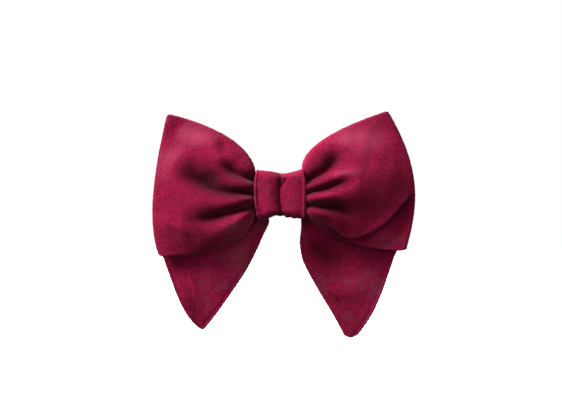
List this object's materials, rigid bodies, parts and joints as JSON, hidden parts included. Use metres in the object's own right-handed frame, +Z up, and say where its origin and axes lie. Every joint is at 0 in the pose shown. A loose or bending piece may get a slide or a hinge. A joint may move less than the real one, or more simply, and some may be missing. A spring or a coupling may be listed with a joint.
{
  "type": "bow tie",
  "caption": "Ready-tied velvet bow with full loops, a folded knot band, hinged pointed tails and a sprung toothed collar clip.",
  "frame": {"origin": "centre of the flat back of the knot band, which rests on the collar", "axes": "+X along the bow's width, +Y back towards the collar, +Z up as worn; the front faces -Y"},
  "size_m": [0.1208, 0.0292, 0.1042],
  "materials": {
    "velvet": "short dense pile",
    "interlining": "plain stiffened cotton",
    "thread": "twisted polyester",
    "nickelled_steel": "nickel plated",
    "spring_steel": "drawn wire"
  },
  "bodies": {
    "bow": {"bow_front_panel": "velvet", "bow_interlining": "interlining", "bow_back_panel": "velvet", "gather_thread": "thread", "left_tail_head": "velvet", "right_tail_head": "velvet", "knot_band": "velvet", "knot_closing_stitches": "thread", "clip_plate": "nickelled_steel", "plate_tack_thread": "thread", "left_hinge_pin": "nickelled_steel", "right_hinge_pin": "nickelled_steel", "left_spring": "spring_steel", "right_spring": "spring_steel"},
    "left_tail": {"left_tail_front": "velvet", "left_tail_interlining": "interlining", "left_tail_back": "velvet"},
    "right_tail": {"right_tail_front": "velvet", "right_tail_interlining": "interlining", "right_tail_back": "velvet"},
    "left_jaw": {"left_jaw": "nickelled_steel"},
    "right_jaw": {"right_jaw": "nickelled_steel"}
  },
  "joints": [
    {"name": "left_tail_fold", "type": "hinge", "parent": "bow", "child": "left_tail", "pos_m": [0, -0.0028, -0.0112], "axis": [1, 0, 0], "range_deg": [0, 30]},
    {"name": "right_tail_fold", "type": "hinge", "parent": "bow", "child": "right_tail", "pos_m": [0, -0.0028, -0.0112], "axis": [1, 0, 0], "range_deg": [0, 30]},
    {"name": "left_jaw_hinge", "type": "hinge", "parent": "bow", "child": "left_jaw", "pos_m": [-0.02, 0.0003, 0], "axis": [0, 0, -1], "range_deg": [0, 25], "stiffness_Nm_per_rad": 0.05, "springref_deg": -20.05, "deforming": ["left_spring"]},
    {"name": "right_jaw_hinge", "type": "hinge", "parent": "bow", "child": "right_jaw", "pos_m": [0.02, 0.0003, 0], "axis": [0, 0, 1], "range_deg": [0, 25], "stiffness_Nm_per_rad": 0.05, "springref_deg": -20.05, "deforming": ["right_spring"]}
  ]
}
